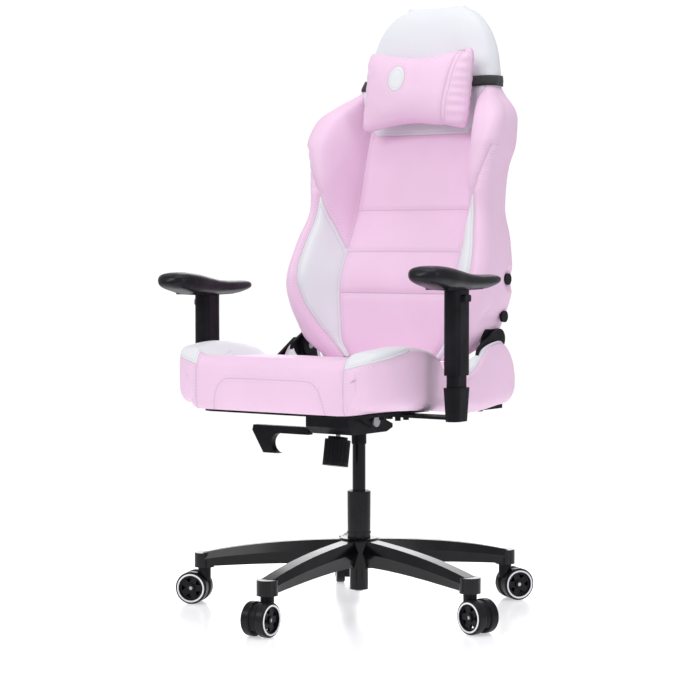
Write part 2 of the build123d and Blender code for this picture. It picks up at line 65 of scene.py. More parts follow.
class Shader:
    # a small helper round one node tree
    def __init__(self, name):
        self.mat = bpy.data.materials.new(name)
        self.mat.use_nodes = True
        self.tree = self.mat.node_tree
        self.body = self.tree.nodes["Principled BSDF"]
        self.coord = self.tree.nodes.new("ShaderNodeTexCoord").outputs["Object"]

    def node(self, kind, inputs=None, **props):
        made = self.tree.nodes.new(kind)
        for key, value in props.items():
            setattr(made, key, value)
        for key, value in (inputs or {}).items():
            if isinstance(value, bpy.types.NodeSocket):
                self.tree.links.new(value, made.inputs[key])
            else:
                made.inputs[key].default_value = value
        return made

    def noise(self, scale, detail=4, rough=0.5, vector=None):
        inputs = {"Vector": vector or self.coord, "Scale": scale, "Detail": detail, "Roughness": rough}
        return self.node("ShaderNodeTexNoise", inputs).outputs["Fac"]

    def cells(self, scale, feature="F1"):
        inputs = {"Vector": self.coord, "Scale": scale}
        return self.node("ShaderNodeTexVoronoi", inputs, feature=feature).outputs["Distance"]

    def math(self, operation, a, b=0.0, c=0.0):
        return self.node("ShaderNodeMath", {0: a, 1: b, 2: c}, operation=operation).outputs[0]

    def remap(self, value, low, high, toLow=0.0, toHigh=1.0):
        inputs = {"Value": value, "From Min": low, "From Max": high, "To Min": toLow, "To Max": toHigh}
        return self.node("ShaderNodeMapRange", inputs, interpolation_type="SMOOTHSTEP").outputs[0]

    def blendColor(self, factor, a, b, mode="MIX"):
        made = self.node("ShaderNodeMix", data_type="RGBA", blend_type=mode)
        for index, value in ((0, factor), (6, a), (7, b)):
            if isinstance(value, bpy.types.NodeSocket):
                self.tree.links.new(value, made.inputs[index])
            else:
                made.inputs[index].default_value = value
        return made.outputs[2]

    def attribute(self, name):
        return self.node("ShaderNodeAttribute", attribute_name=name).outputs["Fac"]

    def bump(self, height, strength, distance, under=None):
        inputs = {"Height": height, "Strength": strength, "Distance": distance}
        if under is not None:
            inputs["Normal"] = under
        return self.node("ShaderNodeBump", inputs).outputs["Normal"]

    def set(self, **values):
        names = {
            "color": "Base Color", "rough": "Roughness", "metal": "Metallic", "normal": "Normal",
            "coat": "Coat Weight", "coatRough": "Coat Roughness", "sheen": "Sheen Weight",
            "spec": "Specular IOR Level", "sub": "Subsurface Weight",
        }
        for key, value in values.items():
            socket = self.body.inputs[names[key]]
            if isinstance(value, bpy.types.NodeSocket):
                self.tree.links.new(value, socket)
            else:
                socket.default_value = value
        return self.mat


# metres: pitch of the stitches, and how far the stitched rows lie from their seam
stitch = {"pitch": 0.0065, "fromSeam": 0.0058}


def hideMaterial(name, pink, white):
    # grained upholstery hide; white, seamA and seamB are signed distances to the seams of the sewn pieces
    s = Shader(name)
    whiteness = s.remap(s.attribute("white"), -0.0004, 0.0004)
    seamA, seamB, edge = [s.math("ABSOLUTE", s.attribute(layer)) for layer in ("seamA", "seamB", "white")]
    seam = s.math("MINIMUM", s.math("MINIMUM", seamA, seamB), edge)
    tone = s.noise(6, 3)
    pinkTone = s.blendColor(s.remap(tone, 0.3, 0.7), pink, darker(pink, 0.955))
    base = s.blendColor(whiteness, pinkTone, white)
    # painted shade: the colour darkens toward a deeper pink in the crease along every seam
    base = s.blendColor(s.remap(seam, 0.0002, 0.0014, 0.42, 0.0), base, darker(pink, 0.62))
    wave = s.math("SINE", s.math("MULTIPLY", s.attribute("along"), 2 * math.pi / stitch["pitch"]))
    dash = s.remap(wave, -0.35, 0.1)
    offset = s.math("ABSOLUTE", s.math("SUBTRACT", seam, stitch["fromSeam"]))
    thread = s.math("MULTIPLY", s.remap(offset, 0.0004, 0.0009, 1.0, 0.0), dash)
    hole = s.math("MULTIPLY", s.remap(offset, 0.0005, 0.0014, 1.0, 0.0), s.remap(wave, -0.35, 0.1, 1.0, 0.0))
    threadColor = s.blendColor(whiteness, srgb(250, 226, 242), srgb(222, 222, 228))
    base = s.blendColor(s.math("MULTIPLY", thread, 0.7), base, threadColor)
    # painted shade: the stitch holes between the thread dashes are darkened toward a deeper pink
    base = s.blendColor(s.math("MULTIPLY", hole, 0.22), base, darker(pink, 0.55))
    grain = s.cells(620)
    grainEdge = s.cells(620, "DISTANCE_TO_EDGE")
    pebble = s.math("ADD", s.math("MULTIPLY", grain, 0.6), s.remap(grainEdge, 0.0, 0.12))
    fine = s.bump(pebble, 0.16, 0.0006)
    folds = s.bump(s.noise(26, 3, 0.55), 0.10, 0.006, fine)
    sewn = s.math("ADD", s.remap(seam, 0.0, 0.0026, 0.0, 1.0), s.math("MULTIPLY", thread, 0.22))
    sewn = s.math("SUBTRACT", sewn, s.math("MULTIPLY", hole, 0.15))
    normal = s.bump(sewn, 0.6, 0.0018, folds)
    rough = s.remap(s.noise(60, 3), 0.2, 0.8, 0.40, 0.52)
    return s.set(color=base, rough=rough, normal=normal, coat=0.10, coatRough=0.35, spec=0.42, sub=0.02,
                 sheen=0.08)


def mouldedMaterial(name, color, rough, grainScale, grainStrength, coat, scratched, spec):
    # black moulded plastic and enamel with a fine texture, faint dust tone and scattered scratch flecks
    s = Shader(name)
    cloud = s.noise(14, 4)
    lighter = tuple(min(1.0, c * 1.7 + 0.004) for c in color[:3]) + (1,)  # dust
    base = s.blendColor(s.remap(cloud, 0.35, 0.75), color, lighter)
    if scratched:
        fleck = s.remap(s.noise(420, 2, 0.7), 0.68, 0.76)
        base = s.blendColor(s.math("MULTIPLY", fleck, 0.10), base, (0.035, 0.035, 0.04, 1))
    roughness = s.remap(s.noise(38, 3), 0.25, 0.8, rough * 0.86, rough * 1.16)
    normal = s.bump(s.noise(grainScale, 3, 0.6), grainStrength, 0.0005)
    return s.set(color=base, rough=roughness, normal=normal, coat=coat, coatRough=0.12, spec=spec)


def metalMaterial(name, color, rough, streak):
    # bare or plated steel with fine streaks along Z
    s = Shader(name)
    stretched = s.node("ShaderNodeMapping", {"Vector": s.coord, "Scale": (1, 1, streak)}).outputs[0]
    lines = s.noise(180, 3, 0.6, stretched)
    base = s.blendColor(s.remap(s.noise(22, 4), 0.3, 0.75), color, darker(color, 0.75))
    roughness = s.remap(lines, 0.2, 0.8, rough * 0.8, rough * 1.3)
    return s.set(color=base, metal=1.0, rough=roughness, normal=s.bump(lines, 0.05, 0.0004))


def webbingMaterial(name):
    # woven elastic: ribs along the band and a fine cross weave
    s = Shader(name)
    along = s.attribute("along")
    across = s.attribute("across")
    ribs = s.math("SINE", s.math("MULTIPLY", across, 2 * math.pi / 0.0022))
    weave = s.math("SINE", s.math("MULTIPLY", along, 2 * math.pi / 0.0016))
    cloth = s.math("ADD", ribs, s.math("MULTIPLY", weave, 0.6))
    base = s.blendColor(s.remap(cloth, -1.2, 1.2), (0.010, 0.010, 0.012, 1), (0.040, 0.040, 0.045, 1))
    return s.set(color=base, rough=0.82, normal=s.bump(cloth, 0.5, 0.0005), sheen=0.25)


# colour, roughness, grain scale, grain strength, coat, scratched, specular level
mouldedFinishes = {
    "base_black": ((0.0024, 0.0024, 0.0034, 1), 0.20, 900, 0.015, 0.16, True, 0.20),
    "plastic_black": ((0.0065, 0.0065, 0.0085, 1), 0.40, 1400, 0.10, 0.0, True, 0.13),
    "pad_black": ((0.0048, 0.0048, 0.0070, 1), 0.30, 1100, 0.10, 0.04, True, 0.22),
    "wheel_black": ((0.0055, 0.0055, 0.0070, 1), 0.34, 1200, 0.06, 0.1, True, 0.13),
    "lift_black": ((0.0050, 0.0050, 0.0065, 1), 0.22, 700, 0.015, 0.3, True, 0.13),
    "mechanism_black": ((0.0075, 0.0075, 0.0090, 1), 0.46, 1600, 0.22, 0.0, True, 0.13),
    "zinc_black": ((0.010, 0.010, 0.012, 1), 0.38, 1500, 0.10, 0.0, True, 0.13),
    "wheel_trim": (srgb(232, 234, 238), 0.30, 600, 0.02, 0.3, False, 0.13),
}
materials = {name: mouldedMaterial(name, *finish) for name, finish in mouldedFinishes.items()}
materials["pink_hide"] = hideMaterial("pink_hide", srgb(247, 211, 238), srgb(235, 237, 241))
materials["zinc_steel"] = metalMaterial("zinc_steel", (0.55, 0.55, 0.57, 1), 0.32, 0.2)
materials["spring_steel"] = metalMaterial("spring_steel", (0.30, 0.30, 0.32, 1), 0.38, 1.0)
materials["strap_webbing"] = webbingMaterial("strap_webbing")
for part in frame["record"]["subparts"]:
    node = frame["nodes"][part["node"]]
    node.data.materials.clear()
    node.data.materials.append(materials[part["material_slot"]])
print("materials done")


# shape helpers

def curveAt(keys, values, at):
    # smooth curve through the stations without overshoot
    keys = np.array(keys, float)
    values = np.array(values, float)
    at = np.clip(np.asarray(at, float), keys[0], keys[-1])
    step = np.diff(keys)
    slope = np.diff(values) / step
    tangent = np.zeros(len(keys))
    product = slope[:-1] * slope[1:]
    total = np.where(np.abs(slope[:-1] + slope[1:]) < 1e-9, 1.0, slope[:-1] + slope[1:])
    tangent[1:-1] = np.where(product > 0, 2 * product / total, 0.0)
    tangent[0], tangent[-1] = slope[0], slope[-1]
    i = np.clip(np.searchsorted(keys, at, side="right") - 1, 0, len(keys) - 2)
    t = (at - keys[i]) / step[i]
    return ((2 * t**3 - 3 * t**2 + 1) * values[i] + (t**3 - 2 * t**2 + t) * step[i] * tangent[i]
            + (3 * t**2 - 2 * t**3) * values[i + 1] + (t**3 - t**2) * step[i] * tangent[i + 1])


def stationColumns(stations, rows):
    # every column of a station table, read at the wanted rows
    keys = [station[0] for station in stations]
    return [curveAt(keys, list(column), rows) for column in list(zip(*stations))[1:]]


def halfWave(t):
    # 0 at both ends of 0..1 and outside it, 1 in the middle
    return np.sin(np.pi * np.clip(t, 0, 1))


def halfRing(corners, counts):
    # evenly divided polyline through the corners, with its corner number at each point
    points, marks = [], []
    for index, count in enumerate(counts):
        a, b = np.array(corners[index]), np.array(corners[index + 1])
        for k in range(count):
            points.append(a + (b - a) * k / count)
            marks.append(index + k / count)
    points.append(np.array(corners[-1], float))
    marks.append(len(counts))
    return np.array(points, float), np.array(marks)


def fullRing(half):
    # mirrors a half ring (x >= 0) into a closed ring
    other = half[1:-1][::-1].copy()
    other[:, 0] *= -1
    return np.vstack([half, other])


def relax(grid, ringPasses, rowPasses):
    # rounds the corners round each ring, then evens out from ring to ring
    for _ in range(ringPasses):
        grid = grid + 0.5 * ((np.roll(grid, 1, 1) + np.roll(grid, -1, 1)) / 2 - grid)
    for _ in range(rowPasses):
        inner = grid[1:-1] + 0.5 * ((grid[:-2] + grid[2:]) / 2 - grid[1:-1])
        grid = np.concatenate([grid[:1], inner, grid[-1:]])
    return grid


def capRings(ring, outward, depth, steps):
    # closes an open end with a domed cap drawn in to the line midway between its two faces
    count = len(ring)
    n = count // 2 + 1
    partner = (n - 1 - np.arange(count)) % count
    middle = (ring + ring[partner]) / 2
    # each point first heads straight across to the far side at its own x, then settles on its partner
    half = ring[:n]
    turn = int(np.argmax(half[:, 0]))
    near, far = half[:turn + 1], half[turn:][::-1]
    across = np.empty_like(ring)
    for i in range(count):
        flip = -1 if i >= n else 1
        j = i if i < n else count - i
        other = far if j <= turn else near
        level = [np.interp(half[j, 0], other[:, 0], other[:, c]) for c in (1, 2)]
        across[i] = (flip * half[j, 0], (half[j, 1] + level[0]) / 2, (half[j, 2] + level[1]) / 2)
    gap = np.linalg.norm(ring - across, axis=1, keepdims=True)
    spread = np.clip(gap / (0.6 * gap.max()), 0, 1)
    rings = []
    for k in range(1, steps + 1):
        f = k / steps
        lift = depth * math.sqrt(max(0.0, 1 - (1 - f) ** 2.4))
        goal = across + (middle - across) * f**2
        rings.append(ring + (goal - ring) * f + np.array(outward) * lift * spread)
    return rings


def meshObject(name, work, finish, smooth=True):
    # turns a finished bmesh into a linked object
    mesh = bpy.data.meshes.new(name)
    work.to_mesh(mesh)
    work.free()
    mesh.polygons.foreach_set("use_smooth", [smooth] * len(mesh.polygons))
    mesh.materials.append(materials[finish])
    obj = bpy.data.objects.new(name, mesh)
    scene.collection.objects.link(obj)
    return obj


def gridMesh(name, rings, layers=None, finish="pink_hide", levels=1):
    # closed mesh from a stack of rings, on a grid whose last column closes on the first;
    # layers are per-vertex numbers in millimetres stored in metres
    rings = np.array(rings)
    rows, count = rings.shape[:2]
    column = np.arange(count + 1) % count
    work = bmesh.new()
    bmesh.ops.create_grid(work, x_segments=count, y_segments=rows - 1, size=1)
    for vert, place in zip(work.verts, rings[:, column].reshape(-1, 3) * mm):
        vert.co = place
    for key, values in (layers or {}).items():
        layer = work.verts.layers.float.new(key)
        values = np.asarray(values, float)[:, column].reshape(-1) * mm
        for vert, value in zip(work.verts, values):
            vert[layer] = value
    bmesh.ops.remove_doubles(work, verts=work.verts, dist=0.00002)
    bmesh.ops.dissolve_degenerate(work, edges=work.edges, dist=0.00001)
    bmesh.ops.recalc_face_normals(work, faces=work.faces)
    obj = meshObject(name, work, finish)
    if levels:
        fine = obj.modifiers.new("fine", "SUBSURF")
        fine.levels = levels
        fine.render_levels = levels
    return obj


def ringNormals(grid):
    # outward unit normals of a stack of rings
    around = np.roll(grid, -1, 1) - np.roll(grid, 1, 1)
    up = np.gradient(grid, axis=0)
    normal = np.cross(around, up)
    normal /= np.linalg.norm(normal, axis=2, keepdims=True) + 1e-9
    centre = grid.mean(axis=1, keepdims=True)
    if ((grid - centre) * normal).sum() < 0:
        normal = -normal
    return normal


def lineDistance(px, pz, line):
    # shortest distance from points to a polyline, and the length along it at the nearest point
    best = np.full(px.shape, 1e9)
    along = np.zeros(px.shape)
    run = 0.0
    for (ax, az), (bx, bz) in zip(line[:-1], line[1:]):
        dx, dz = bx - ax, bz - az
        size = math.hypot(dx, dz)
        t = np.clip(((px - ax) * dx + (pz - az) * dz) / size**2, 0, 1)
        d = np.hypot(px - ax - t * dx, pz - az - t * dz)
        closer = d < best
        best = np.where(closer, d, best)
        along = np.where(closer, run + t * size, along)
        run += size
    return best, along


def insidePolygon(px, pz, line):
    # true where a point lies within the closed outline
    inside = np.zeros(px.shape, bool)
    for (ax, az), (bx, bz) in zip(line, line[1:] + line[:1]):
        crosses = ((az > pz) != (bz > pz)) & (px < (bx - ax) * (pz - az) / (bz - az + 1e-12) + ax)
        inside ^= crosses
    return inside


def wrinkle(grid, size, seed):
    # soft repeatable noise at each point, -1 to 1
    flat = grid.reshape(-1, 3)
    values = [noise.noise(Vector((p[0] / size + seed, p[1] / size, p[2] / size))) for p in flat]
    return np.array(values).reshape(grid.shape[:2])


def arcLengths(grid, n):
    # length round each half ring from its first point
    half = grid[:, :n]
    step = np.linalg.norm(np.diff(half, axis=1), axis=2)
    run = np.concatenate([np.zeros((len(grid), 1)), np.cumsum(step, axis=1)], axis=1)
    return np.concatenate([run, run[:, 1:-1][:, ::-1]], axis=1)


def atMark(arc, marks, n, mark):
    # arc length at a corner number, for each ring
    return np.array([np.interp(mark, marks, row[:n]) for row in arc])[:, None]


def onlyNear(signed, active=True):
    # keeps a signed seam distance close to the seam and sends it far away elsewhere, on the same side
    away = np.where(signed < 0, -3000.0, 3000.0)
    return np.where((np.abs(signed) < 16) & active, signed, away)


# seat cushion
# change crown for a fuller or flatter seat, seamDepth for how far the seams pull in;
# the marks are corner numbers of the half ring, 5.9 lying just short of the bolster's outer top edge
seat = {
    "crown": 7.0, "frontBulge": 4.0, "dimple": 13.0, "wrinkleHeight": 0.9, "seamDepth": 3.0, "seamWidth": 5.0,
    "underside": 446.3, "front": -300, "sideSeam": 187, "outerMark": 5.9, "innerMark": 8.0,
}
# y, half width, skirt, outer top, inner x and top of the bolster, pan half width and height
seatStations = [
    (-318, 206, 470, 541, 184, 546, 168, 545),
    (-305, 243, 459, 566, 199, 571, 178, 556),
    (-290, 255, 456, 572, 206, 576, 180, 555),
    (-255, 264, 454, 577, 212, 580, 179, 553),
    (-200, 265, 452, 580, 215, 584, 178, 551),
    (-91, 265, 445, 563, 215, 570, 172, 541),
    (-14, 262, 438, 506, 215, 520, 175, 533),
    (60, 262, 431, 525, 222, 529, 185, 531),
    (104, 265, 433, 571, 250.5, 573, 249.8, 531),
    (166, 265, 440, 581, 250.5, 583, 249.8, 526),
    (204, 265, 443, 542, 250.5, 543, 249.8, 511),
    (211, 262, 452, 521, 250.5, 522, 249.8, 507),
]
seatCounts = [22, 4, 6, 4, 12, 4, 6, 9, 22]
seatRows = np.concatenate([np.linspace(-318, -292, 12), np.linspace(-288, 204, 80), [208, 211]])
columns = stationColumns(seatStations, seatRows)
# the front corners turn into the sides on a quarter ellipse
turnIn = np.clip((-252 - seatRows) / 66, 0, 1)
columns[0] = np.where(seatRows < -252, 264.5 - 50 * (1 - np.sqrt(1 - turnIn**2)), columns[0])
rings = []
for y, half, skirt, outerTop, innerX, innerTop, panX, panZ in zip(seatRows, *columns):
    corners = [
        (0, y, seat["underside"]), (min(204, half - 24), y, seat["underside"]),
        (min(208, half - 19), y, skirt), (half - 15, y, skirt), (half, y, skirt + 20),
        (half, y, outerTop - 8), (half - 8, y, outerTop), (innerX, y, innerTop),
        (panX, y, panZ), (0, y, panZ),
    ]
    ring, seatMarks = halfRing(corners, seatCounts)
    rings.append(fullRing(ring))
seatN = len(seatMarks)
grid = relax(np.array(rings), 5, 3)
front = capRings(grid[0], (0, -1, 0), 4.5, 14)
rear = capRings(grid[-1], (0, 1, 0), 2.0, 6)
grid = np.concatenate([np.array(front[::-1]), grid, np.array(rear)])
x, y, z = grid[:, :, 0], grid[:, :, 1], grid[:, :, 2]
side = np.abs(x)
arc = arcLengths(grid, seatN)
outerSeam = atMark(arc, seatMarks, seatN, seat["outerMark"])
innerSeam = atMark(arc, seatMarks, seatN, seat["innerMark"])
# the arched panel sewn into the front
archHalf = [(-142, 440), (-137, 470), (-129, 495), (-112, 510), (-92, 513)]
arch = archHalf + [(-px, pz) for px, pz in archHalf[::-1]]
archDistance, archRun = lineDistance(x, z, arch)
archDistance = np.where(insidePolygon(x, z, arch), -archDistance, archDistance)
archSeam = onlyNear(archDistance, y < seat["front"])
sideSeam = onlyNear(side - seat["sideSeam"], (z < 552) & (y < -296))
# the white top of each bolster starts low on the front and climbs to the outer seam
climb = 538 + 17 * np.clip((side - seat["sideSeam"]) / 66, 0, 1) + 21 * np.clip((y + 300) / 120, 0, 1)
blend = np.clip((y + 200) / 24, 0, 1)
outerEdge = (1 - blend) * (z - climb) + blend * (arc - outerSeam)
innerEdge = np.where(y < -296, side - seat["sideSeam"], innerSeam - arc)
whiteness = np.where(z > 500, np.minimum(outerEdge, innerEdge), -30)
seam = np.minimum(np.minimum(np.abs(archSeam), np.abs(sideSeam)), np.abs(whiteness))
along = np.where(np.abs(archSeam) < np.abs(sideSeam), archRun, z)
along = np.where(np.abs(whiteness) <= seam + 0.01, np.where(y < seat["front"], side, y), along)
push = -seat["seamDepth"] * np.exp(-(seam / seat["seamWidth"]) ** 2) * np.where(y < -288, 0.3, 1.0)
acrossPuff = np.where(z > 500, np.clip(1 - (x / 175) ** 4, 0, 1), 0)
lengthPuff = np.clip(halfWave((y + 318) / 530), 0, 1) ** 0.6
push += seat["crown"] * acrossPuff * lengthPuff
frontPuff = np.where(y < seat["front"], halfWave((z - 450) / 100), 0)
push += seat["frontBulge"] * np.clip(1 - (x / seat["sideSeam"]) ** 4, 0, 1) * frontPuff
sideWall = np.clip((side - 250) / 12, 0, 1) * np.clip((z - 440) / 30, 0, 1)
push -= seat["dimple"] * sideWall * np.exp(-((y + 62) / 52) ** 2) * np.clip((575 - z) / 60, 0, 1)
push += seat["wrinkleHeight"] * wrinkle(grid, 42, 3.1) * np.clip(seam / 12, 0.15, 1)
push = np.where(z < 449, 0, push)  # the underside stays flat on the pan
grid = grid + ringNormals(grid) * push[:, :, None]
seatLayers = {"white": whiteness, "seamA": archSeam, "seamB": sideSeam, "along": along}
seatCover = gridMesh("seat_cover", grid, seatLayers)
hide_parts("seat_cushion")
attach(seatCover, "seat")
print("seat cover done")


# back cushion
# panelCrown is the puff between the cross seams, wingCrown that of the wings;
# the marks are corner numbers of the half ring, and crossSeams are the heights of the quilting lines
back = {
    "panelCrown": 3.0, "wingCrown": 5.0, "rearCrown": 4.0, "wrinkleHeight": 1.0, "pleatHeight": 0.9,
    "seamDepth": 2.6, "seamWidth": 5.0, "panelGroove": 3.0,
    "panelMark": 1.0, "frontMark": 4.2, "rimMark": 4.35, "rearMark": 5.6,
    "crossSeams": [679, 771, 863], "panelTop": 1031, "headLow": 1132,
}
# z, half width, wing front, panel half width, panel y, side rear, rear middle
backStations = [
    (537, 184, 119, 112, 119, 131, 136),
    (553, 200, 110, 122, 121, 141, 147),
    (575, 223, 97, 138, 124, 196, 203),
    (592, 230, 90, 140, 127, 212, 219),
    (700, 263, 74, 151, 140, 221, 234),
    (790, 253, 101, 151, 178, 229, 259),
    (870, 233, 129, 151, 214, 236, 287),
    (950, 238, 132, 146, 229, 243, 298),
    (1005, 251, 137, 140, 237, 253, 305),
    (1060, 245, 163, 134, 249, 269, 315),
    (1100, 209, 212, 128, 259, 294, 323),
    (1124, 180, 244, 122, 264, 308, 330),
    (1150, 174, 258, 116, 265, 313, 335),
    (1200, 166, 274, 104, 266, 316, 338),
    (1250, 149, 281, 88, 270, 318, 338),
    (1288, 122, 289, 72, 278, 320, 335),
    (1305, 101, 297, 58, 288, 321, 330),
    (1313, 80, 303, 46, 297, 320, 325),
]
backCounts = [20, 14, 8, 4, 12, 4, 10, 14]
backRows = np.concatenate([
    [537, 540, 544, 549, 554, 560], np.linspace(566, 1292, 118), [1297, 1302, 1306, 1310, 1313]])
columns = stationColumns(backStations, backRows)
rings = []
for z, half, wing, panelX, panelY, sideRear, rearY in zip(backRows, *columns):
    dome = min(1.0, max(0.0, (z - 1120) / 60))
    corners = [
        (0, panelY, z), (panelX, panelY + dome, z), (0.5 * half + 0.5 * panelX, wing + 6 - 12 * dome, z),
        (0.94 * half, wing, z), (half, wing + (0.07 + 0.04 * dome) * half, z), (half, sideRear - 12, z),
        (0.93 * half, sideRear, z), (0.55 * half, rearY - 4, z), (0, rearY, z),
    ]
    ring, backMarks = halfRing(corners, backCounts)
    rings.append(fullRing(ring))
backN = len(backMarks)
grid = relax(np.array(rings), 5, 4)
top = capRings(grid[-1], (0, 0, 1), 5.0, 7)
base = capRings(grid[0], (0, 0, -1), 1.5, 5)
grid = np.concatenate([np.array(base[::-1]), grid, np.array(top)])
x, y, z = grid[:, :, 0], grid[:, :, 1], grid[:, :, 2]
side = np.abs(x)
arc = arcLengths(grid, backN)
panelSeam, frontEnd, rimSeam, rearSeam = [
    atMark(arc, backMarks, backN, back[key]) for key in ("panelMark", "frontMark", "rimMark", "rearMark")]
frontFace = arc < frontEnd
inPanel = arc < panelSeam + 1
onWing = frontFace & ~inPanel
# the white leaf on each wing lies between the panel, its outer curve and the wedge seam above
leafOuter = [
    (201, 903), (206, 868), (211, 833), (222, 786), (228, 743), (225, 707), (207, 657), (176, 603), (126, 535)]
wedge = [(151, 775), (163, 800), (183, 848), (201, 903)]
leaf = leafOuter + [(118, 535), (100, 535), (100, 700)] + wedge[:-1]
outerDistance = np.where(onWing, lineDistance(side, z, leafOuter)[0], 30)
wedgeDistance = np.where(onWing, lineDistance(side, z, wedge)[0], 30)
inLeaf = insidePolygon(side, z, leaf) & frontFace & (arc > panelSeam)
leafEdge = np.minimum(np.minimum(outerDistance, wedgeDistance), np.abs(arc - panelSeam))
leafWhite = np.where(inLeaf, leafEdge, -leafEdge)
# the white head comes down to a point in the middle of the front
headSeam = back["panelTop"] + 101 * np.clip((side - 122) / 38, 0, 1) ** 1.3
headSeam = np.where(arc > rearSeam, back["headLow"], headSeam)
headWhite = z - headSeam
whiteness = np.maximum(headWhite, leafWhite)
inHead = ((z > 1034) & frontFace) | (z > back["headLow"])
longSeam = onlyNear(np.minimum(arc - panelSeam, rearSeam - arc), ~(inHead | (z < 556)))
panelEdge = np.where((z < 1034) & frontFace, np.abs(arc - panelSeam), 99)
# quilting lines across the panel, with the sign changing from one field to the next
crossDistance = np.minimum.reduce([np.abs(z - level) for level in back["crossSeams"]])
field = np.sum([z > level for level in back["crossSeams"]], axis=0)
crossSeam = onlyNear(crossDistance * np.where(field % 2 == 0, 1, -1))
# the slanted seam up each wing
slant, slantRun = lineDistance(side, z, [(203, 905), (222, 945), (243, 1000)])
besideSlant = onWing & (z > 903) & (z < 1004)
lean = np.where((side - 203) * 95 > (z - 905) * 40, 1, -1)
crossSeam = np.where(inPanel, crossSeam, onlyNear(slant * lean, besideSlant))
seam = np.minimum(np.minimum(np.abs(longSeam), np.abs(crossSeam)), np.abs(whiteness))
along = np.where(np.abs(crossSeam) <= seam, np.where(inPanel, x, slantRun), z)
along = np.where(np.abs(headWhite) <= seam, x, along)
levels = [535] + back["crossSeams"] + [back["panelTop"]]
puff = np.zeros(z.shape)
for low, high in zip(levels[:-1], levels[1:]):
    puff += np.where((z >= low) & (z < high), halfWave((z - low) / (high - low)) ** 0.5, 0)
push = back["panelCrown"] * puff * np.where(inPanel, np.clip(1 - (arc / (panelSeam + 1)) ** 4, 0, 1), 0)
wingPuff = np.where(frontFace, halfWave((arc - panelSeam) / (rimSeam - panelSeam)), 0)
push += back["wingCrown"] * wingPuff * np.clip(seam / 18, 0, 1) * np.clip((1150 - z) / 50, 0, 1)
push -= back["seamDepth"] * np.exp(-(seam / back["seamWidth"]) ** 2)
push -= back["panelGroove"] * np.exp(-(panelEdge / 7.0) ** 2)
push += back["wrinkleHeight"] * wrinkle(grid, 48, 7.7) * np.clip(seam / 12, 0.15, 1)
pleats = np.sin(z / 3.4 + 0.7 * np.sin(z / 21)) * np.exp(-((slant - 9) / 10) ** 2)
push += np.where(besideSlant & (lean > 0), back["pleatHeight"] * pleats, 0)
rearPuff = np.where(arc > rearSeam, np.clip((arc - rearSeam) / 60, 0, 1), 0)
push += back["rearCrown"] * rearPuff * np.clip((1280 - z) / 60, 0, 1) * np.clip((z - 560) / 60, 0, 1)
grid = grid + ringNormals(grid) * push[:, :, None]
# the cover dips in behind the upper bolt caps and stays inside the hinge covers as the back reclines
capReach = np.hypot(grid[:, :, 1] - 198, grid[:, :, 2] - 712)
hingeReach = np.hypot(grid[:, :, 1] - 140, grid[:, :, 2] - 560)
limit = np.minimum(249 + 26 * np.clip((capReach - 15) / 24, 0, 1) ** 1.5,
                   238 + 40 * np.clip((hingeReach - 76) / 36, 0, 1))
grid[:, :, 0] = np.sign(grid[:, :, 0]) * np.minimum(np.abs(grid[:, :, 0]), limit)
backGrid = grid
backLayers = {"white": whiteness, "seamA": longSeam, "seamB": crossSeam, "along": along}
backCover = gridMesh("back_cover", backGrid, backLayers)
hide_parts("back_cushion")
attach(backCover, "back")
print("back cover done")


# neck pillow
# width, height and thickness in millimetres; waist is how far the long edges dip in the middle
pillow = {
    "width": 284, "height": 190, "thickness": 84, "waist": 21, "lean": 9, "centre": (13, 208, 1126),
    "columns": 56, "rows": 34, "seamDepth": 2.4, "pleatHeight": 1.5, "farPleatHeight": 0.8,
}
# emblem is a plain sewn oval: its place on the pillow and its half sizes
emblem = {"x": -34, "z": 20, "halfWidth": 22, "halfHeight": 29}
u, v = np.meshgrid(np.linspace(-1, 1, pillow["columns"] + 1), np.linspace(-1, 1, pillow["rows"] + 1))
halfW = pillow["width"] / 2 * (1 - 0.035 * (1 - v**2))
halfH = pillow["height"] / 2 - pillow["waist"] * (1 - np.abs(u) ** 1.8)
px = halfW * u * (1 - 0.07 * np.abs(v) ** 9)
pz = halfH * v * (1 - 0.07 * np.abs(u) ** 9)
thick = ((1 - np.abs(u) ** 3.2) * (1 - np.abs(v) ** 2.6)) ** 0.5
py = pillow["thickness"] / 2 * thick * (0.94 + 0.06 * np.cos(u * 3))
frontSheet = np.stack([px, -py, pz], axis=2)
backSheet = np.stack([px, py, pz], axis=2)
rings = np.concatenate([frontSheet, backSheet[:, ::-1]], axis=1)
px, py, pz = rings[:, :, 0], rings[:, :, 1], rings[:, :, 2]
# the end is sewn on with a twin seam that leans outward towards the top
endLine = 96 + 14 * np.clip(pz / 90, -1, 1)
endSeam = np.abs(px - endLine) - 4.5
edgeSeam = py * 0.6
along = np.where(np.abs(endSeam) < np.abs(edgeSeam), pz, px + pz)
push = -pillow["seamDepth"] * np.exp(-((px - endLine) / 7) ** 2) + 1.0 * wrinkle(rings, 34, 1.3)
pleat = np.clip((px - endLine - 3) / 10, 0, 1) * np.clip((139 - px) / 9, 0, 1)
push += pillow["pleatHeight"] * pleat * np.sin(pz / 3.1 + 0.8 * np.sin(pz / 17))
push += pillow["farPleatHeight"] * np.clip((-px - 114) / 12, 0, 1) * np.sin(pz / 4.4)
